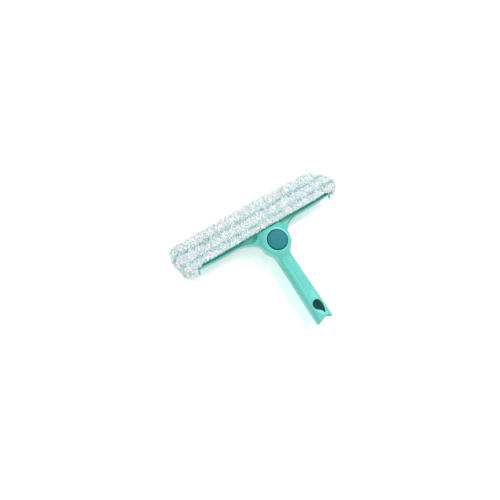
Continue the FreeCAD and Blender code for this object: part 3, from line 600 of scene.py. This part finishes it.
def housing(material):
    """Front and rear shell, with the fine parting line between them.

    Sunk details follow the outer surface, so their depth is taken from the form without its hollows.
    """
    step = 0.6
    sunk_from_z = 4.0
    g = Field(
        (-ARM_TIP_X - 1.5, TAIL_Y - 1.5, -15.5), (ARM_TIP_X + 1.5, HUB_Y + 34.0, 24.0), step)
    whole = union(arm_field(g), hub_field(g), 10.0)
    whole = union(whole, handle_field(g), 4.5)
    whole = union(whole, saddle_field(g), 5.0)
    whole = union(whole, lug_field(g), 1.0)
    outside = whole
    for hollow, soft in inner_fields(g):
        whole = cut(whole, hollow, soft)
    whole = cut(whole, pad_room_field(g), 1.2)
    whole = cut(whole, groove_field(g), 1.4)
    sunk = outside + shelf_depth(g) + grip_depth(g)
    whole = np.maximum(whole, np.where(g.z > sunk_from_z, sunk, whole))
    whole = cut(whole, window_field(g), 0.7)
    whole = cut(whole, notch_field(g), 0.9)
    gap, edge = 0.05, 0.7
    for name, side in (("front", 1.0), ("rear", -1.0)):
        points, quads = skin(g, common(whole, gap - side * g.z, edge))
        mesh_object(name + "_housing", points, quads, "frame", material, (name + "_shell",))


# ---------------------------------------------------------------- the washer's pile sleeve
SLEEVE_SECTION = [
    (6.0, -1.4), (2.9, 4.9), (-3.0, 11.0), (-6.9, 18.5), (-3.6, 24.0), (4.6, 25.4), (16.5, 25.9),
    (30.5, 25.4), (39.8, 23.8), (43.2, 17.5), (42.4, 8.5), (39.8, 2.6), (34.6, -1.4)]
PILE_DEPTH = 2.6                          # the tufts reach this far out of the sleeve's cloth
STRIPES = ((20.5, 3.6), (1.8, 3.4))       # middle and half width of each stripe, along s
PILE_LAYERS = (                           # name, count, sides, length, radius and lean of each
    ("pile_tufts", 9600, 4, 3.9, 1.0, 0.9), ("pile_fibres", 11500, 3, 4.6, 0.26, 0.7))


def plan_field(g):
    """Plan of the sleeve: a full round left end, the right one cut back at its far corner."""
    left, right = SLEEVE_LEFT_X - 4.0, SLEEVE_RIGHT_X + 0.4
    left_end = [
        (left + 12, 46.4), (left + 4.0, 43), (left + 0.6, 34), (left, 20), (left + 2.0, 4),
        (left + 7.6, -7.0), (left + 16, -12.0)]
    right_end = [
        (right - 9, -12.0), (right - 1.0, -9.4), (right, 0), (right - 1.4, 13), (right - 6.8, 24),
        (right - 15.5, 34.0), (right - 26, 42.6), (right - 39, 47.4)]
    outline = left_end + [(0.0, -12.4)] + right_end + [(0.0, 48.6)]
    return polygon(g.x, g.y, smooth_loop(outline, 3))


def sleeve_outer(g):
    """Outer form of the sleeve, in the head's directions: a crowned roll with deeper round ends.

    The grid's x, y and z are the head's x, s and h here.
    """
    across = g.z + 0.0 * g.x              # spread over the whole grid
    crown = 3.4 * np.clip(1.0 - (g.x / 128.0) ** 2, 0.0, 1.0)
    far_share = np.clip((g.y - 10.0) / 28.0, 0.0, 1.0)
    section = polygon(g.y - crown * far_share, across, smooth_loop(SLEEVE_SECTION, 4)) + PILE_DEPTH
    plan = plan_field(g) + PILE_DEPTH
    plan = plan + 0.3 * np.clip(g.z - 19.0, 0.0, 30.0) * np.clip((g.x - 90.0) / 25.0, 0.0, 1.0)
    roll = common(section, plan, 5.0)
    low, high = -11.5 + PILE_DEPTH, 44.6 - PILE_DEPTH
    past_caps = 128.3                     # the ends reach down past the carrier's caps from here out
    wrap = block(0.0 * g.x, g.y, g.z, (-1, low, -13.5 + PILE_DEPTH), (1, high, 24.6 - PILE_DEPTH), 6.0)
    wrap = common(prism(wrap, plan, 3.5), past_caps - np.abs(g.x), 1.0)
    over_caps = block(np.abs(g.x), g.y, g.z, (117.0, -3.6, 5.6), (130.0, 8.0, 20.0), 2.0)
    return union(union(roll, wrap, 5.0), over_caps, 1.5)


def sleeve_hollows(g):
    """Room inside the sleeve for the foam, the carrier and the end caps, and the open back."""
    x = np.abs(g.x)
    yield block(x, g.y, g.z, (-1.0, 1.5, 7.3), (118.0, 35.0, 20.4), 3.0)
    plate = block(x, g.y, g.z, (-1.0, 5.8, 2.6), (126.2, 35.2, 7.4))
    yield np.maximum(plate, (x + g.y - 126.3 - 21.7) * math.sqrt(0.5))
    yield block(x, g.y, g.z, (117.6, -2.8, -8.0), (128.7, 21.6, 18.4))
    yield block(x, g.y, g.z, (-1.0, 10.0, -5.0), (124.0, 30.0, 4.0))
    yield block(g.x, g.y, g.z, (-9.0, -6.0, -5.0), (9.0, 10.5, 7.6))


def stripe_at(points, normals):
    """How much a point belongs to a stripe: on top and round the ends, not on the long sides."""
    jitter = np.array([noise.noise(Vector(p) * 0.11) for p in points])
    fine = np.array([noise.noise(Vector(p) * 0.5) for p in points])
    broken = np.array([noise.noise(Vector((p[0] * 0.09, p[1] * 0.3, p[2] * 0.3))) for p in points])
    s = points[:, 1] + 1.4 * jitter + 1.6 * fine
    inside = np.zeros(len(points))
    for middle, half in STRIPES:
        inside = np.maximum(inside, np.clip(1.2 - np.abs(s - middle) / half, 0.0, 1.0))
    inside = inside * np.clip(0.88 + 0.7 * broken, 0.4, 1.0)
    low_side = (np.abs(normals[:, 1]) > 0.55) & (points[:, 2] < 19.0)
    return np.where(low_side, 0.0, inside)


def normals_of(points, quads):
    """Unit normal of each point."""
    across = np.cross(points[quads[:, 2]] - points[quads[:, 0]], points[quads[:, 3]] - points[quads[:, 1]])
    total = np.stack([
        sum(np.bincount(quads[:, c], across[:, k], len(points)) for c in range(4)) for k in range(3)], 1)
    return total / np.maximum(np.linalg.norm(total, axis=1), 1e-9)[:, None]


def set_attribute(piece, name, values):
    """Stores one number for each point of a mesh."""
    attribute = piece.data.attributes.new(name, "FLOAT", "POINT")
    attribute.data.foreach_set("value", np.asarray(values, np.float32))


def sleeve(material):
    """One continuous pile sleeve, lumpy where its tufts lean together.

    Returns its points, quads and normals in the head's directions, and which points are outside.
    """
    step = 0.9
    g = Field((SLEEVE_LEFT_X - 3, -16.0, -16.0), (SLEEVE_RIGHT_X + 3, 50.0, 30.0), step)
    outer = sleeve_outer(g)
    hollow = outer
    for room in sleeve_hollows(g):
        hollow = cut(hollow, room, 0.6)
    points, quads = skin(g, hollow)
    normals = normals_of(points, quads)
    index = np.clip(np.rint((points - g.low) / step).astype(int), 0, np.array(g.shape) - 1)
    depth = -outer[index[:, 0], index[:, 1], index[:, 2]]
    shown = depth < 0.9
    lumps = np.array([
        0.7 * noise.noise(Vector(p) * 0.06) + 0.9 * noise.noise(Vector(p) * 0.13) for p in points])
    tufts = np.array([noise.voronoi(Vector(p) * 0.22)[0][0] for p in points])
    ends = np.clip((np.abs(points[:, 0]) - 118.0) / 10.0, 0.0, 1.0)
    raised = np.where(shown, (0.9 + 1.2 * ends) * lumps + 1.4 * (0.45 - tufts), 0.0)
    moved = points + normals * raised[:, None]
    piece = mesh_object(
        "pile_sleeve", from_head(moved), quads, "washer", material,
        ("sleeve_panel", "left_sleeve_end", "right_sleeve_end"))
    set_attribute(piece, "stripe", stripe_at(points, normals))
    # The height also sets painted shade in the pile's colour: it is low between the tufts, so the gaps are
    # painted darker.
    set_attribute(piece, "height", np.clip(0.75 - tufts, 0.0, 1.0))
    return moved, quads, normals, shown


def strands(name, roots, normals, stripe, count_sides, length, radius, lean, material, rng):
    """Closed tapered tufts: each bends over from its root and ends in a point."""
    n = len(roots)
    sunk = 0.6                            # roots start this far under the cloth
    lock = np.array([tuple(noise.noise_vector(Vector(p) * 0.16)) for p in roots])
    random_axis = 0.45 * rng.normal(size=(n, 3)) + 2.2 * lock
    tangent = random_axis - normals * np.einsum("ij,ij->i", random_axis, normals)[:, None]
    tangent /= np.linalg.norm(tangent, axis=1)[:, None]
    side = np.cross(normals, tangent)
    reach = length * rng.uniform(0.65, 1.25, n)[:, None]
    tilt = lean * rng.uniform(0.2, 1.0, n)[:, None]
    rings = []
    for share in (0.0, 0.5, 0.88, 1.0):
        centre = roots + normals * (reach * share * (1.0 - 0.25 * tilt * share) - sunk)
        centre = centre + tangent * (reach * tilt * share**2)
        rings.append(centre)
    points = []
    for centre, width in zip(rings[:3], (0.9, 1.0, 0.66)):
        for corner in range(count_sides):
            angle = 2 * math.pi * corner / count_sides
            points.append(centre + radius * width * (math.cos(angle) * tangent + math.sin(angle) * side))
    points.append(rings[3])
    points = np.stack(points, 1)
    per = 3 * count_sides + 1
    tip = per - 1
    faces = []
    for corner in range(count_sides):
        following = (corner + 1) % count_sides
        for ring in (0, count_sides):
            faces.append((ring + corner, ring + following, ring + count_sides + following))
            faces.append((ring + corner, ring + count_sides + following, ring + count_sides + corner))
        faces.append((2 * count_sides + corner, 2 * count_sides + following, tip))
    for corner in range(1, count_sides - 1):
        faces.append((0, corner + 1, corner))
    faces = (np.array(faces)[None] + per * np.arange(n)[:, None, None]).reshape(-1, 3)
    piece = mesh_object(name, from_head(points.reshape(-1, 3)), faces, "washer", material)
    set_attribute(piece, "stripe", np.repeat(stripe, per))
    # The height also sets painted shade in the pile's colour: darkest at the root ring, palest at the tip.
    height = np.tile([0.0] * count_sides + [0.6] * count_sides + [0.95] * count_sides + [1.0], n)
    set_attribute(piece, "height", height)


def scatter(points, quads, normals, shown, count, rng):
    """Random places on the sleeve's outside, evenly by area."""
    quads = quads[shown[quads].all(axis=1)]
    a, b, c, d = (points[quads[:, k]] for k in range(4))
    area = np.linalg.norm(np.cross(c - a, d - b), axis=1)
    chosen = rng.choice(len(quads), count, p=area / area.sum())
    u, v = rng.random((2, count, 1))
    place = (a[chosen] * (1 - u) + b[chosen] * u) * (1 - v) + (d[chosen] * (1 - u) + c[chosen] * u) * v
    return place, normals[quads[chosen, 0]]


def pile(material):
    """Sleeve with thick yarn tufts and fine fibres standing on it."""
    points, quads, normals, shown = sleeve(material)
    rng = np.random.default_rng(SEED)
    for name, count, sides, length, radius, lean in PILE_LAYERS:
        roots, directions = scatter(points, quads, normals, shown, count, rng)
        across = np.abs(roots[:, 0])
        below = (across < 127.5) & (roots[:, 2] < 6.0)
        by_lug = (across > 112.0) & (across < 129.5) & (roots[:, 1] < 0.5) & (roots[:, 2] < 11.5)
        kept = ~below & ~by_lug
        roots, directions = roots[kept], directions[kept]
        stripe = stripe_at(roots, directions)
        strands(name, roots, directions, stripe, sides, length, radius, lean, material, rng)


# ---------------------------------------------------------------- stage, light and camera
def stage():
    """Pale glossy sheet that the object lies on, partly mirror-like and faintly bright of itself."""
    made = Shader("pale_floor", 0.03, 0.5)
    made.surface.inputs["Metallic"].default_value = 0.42
    cloud = made.grain(3.0, 2.0)
    made.colour(made.ramp(cloud, [(0.3, (0.80, 0.80, 0.80)), (0.7, (0.82, 0.82, 0.82))]))
    made.surface.inputs["Emission Color"].default_value = (1, 1, 1, 1)
    made.surface.inputs["Emission Strength"].default_value = 0.40
    reach, drop = 6.0, 0.0004
    mesh = bpy.data.meshes.new("floor")
    corners = [(-reach, -reach), (reach, -reach), (reach, reach), (-reach, reach)]
    mesh.from_pydata([(x, y, FLOOR_Z - drop) for x, y in corners], [], [(0, 1, 2, 3)])
    mesh.materials.append(made.material)
    floor = bpy.data.objects.new("floor", mesh)
    bpy.context.scene.collection.objects.link(floor)


def area_light(name, place, aim, size, power):
    """Round soft white light."""
    light = bpy.data.lights.new(name, "AREA")
    light.shape = "DISK"
    light.size = size
    light.energy = power
    lamp = bpy.data.objects.new(name, light)
    lamp.location = place
    lamp.rotation_mode = "QUATERNION"
    lamp.rotation_quaternion = (Vector(aim) - Vector(place)).to_track_quat("-Z", "Y")
    bpy.context.scene.collection.objects.link(lamp)


def lights():
    """Large soft light from above and the right, two weaker ones, and an even white surround."""
    middle = (0.0, HUB_Y * MM, 0.0)
    area_light("key", (0.9, 0.5, 1.3), middle, 0.8, 17.0)
    area_light("fill", (-1.1, -0.2, 1.3), middle, 1.4, 9.5)
    area_light("front", (0.3, -1.1, 1.0), middle, 1.2, 3.0)
    world = bpy.data.worlds.new("surround")
    world.use_nodes = True
    background = world.node_tree.nodes["Background"]
    background.inputs["Color"].default_value = (1, 1, 1, 1)
    background.inputs["Strength"].default_value = 0.72
    bpy.context.scene.world = world


def camera():
    """View from in front and above, as a hand tool is shown lying on a sheet."""
    place = (-0.2598, 0.0048, 0.8106)
    angles_deg = (16.168, -7.699, -32.678)
    data = bpy.data.cameras.new("view")
    data.sensor_width = 36.0
    data.lens = 39.6
    data.clip_start = 0.01
    data.clip_end = 50.0
    seen = bpy.data.objects.new("view", data)
    seen.location = place
    seen.rotation_euler = [math.radians(a) for a in angles_deg]
    bpy.context.scene.collection.objects.link(seen)
    bpy.context.scene.camera = seen


def paint(nodes, material):
    """Gives carried-over CAD nodes a material."""
    for name in nodes:
        part = frame["nodes"][name]
        part.data.materials.clear()
        part.data.materials.append(material)
        part.data.polygons.foreach_set("material_index", np.zeros(len(part.data.polygons), np.int32))


# ---------------------------------------------------------------- build
turquoise = housing_material()
housing(turquoise)
pile(pile_material())

paint(["crossbar"], turquoise)
paint(["release_button"], button_material())
paint(["blade_channel", "left_end_clip", "right_end_clip"], moulded(
    "white_channel", (0.60, 0.66, 0.66), (0.68, 0.73, 0.73), 0.42).material)
paint(["squeegee_blade"], rubber_material(
    "blade_rubber", (0.018, 0.020, 0.021), (0.040, 0.043, 0.045), 0.55))
# The gasket's teal-black is partly its own rubber and partly painted shade for the gap round the button.
paint(["button_gasket"], rubber_material(
    "gasket_rubber", (0.012, 0.060, 0.062), (0.022, 0.085, 0.085), 0.6))
# The liner's turquoise is about half as bright as the shells': painted shade for the inside of the socket
# seen through the click window.
paint(["pole_socket"], moulded(
    "socket_liner_shaded", (0.045, 0.230, 0.200), (0.060, 0.270, 0.235), 0.5).material)
paint(["latch_guide", "latch_bolt"], moulded(
    "acetal", (0.62, 0.63, 0.60), (0.70, 0.71, 0.68), 0.4).material)
paint(["pad_carrier", "left_carrier_cap", "right_carrier_cap"], moulded(
    "carrier_plastic", (0.50, 0.56, 0.56), (0.58, 0.63, 0.63), 0.45).material)
paint(["shell_screws", "crossbar_screws", "cap_screws", "button_spring"], steel_material())
paint(["foam_core"], foam_material())
paint(["hook_strips"], hook_material())

stage()
lights()
camera()
bpy.context.scene.view_settings.view_transform = "Standard"
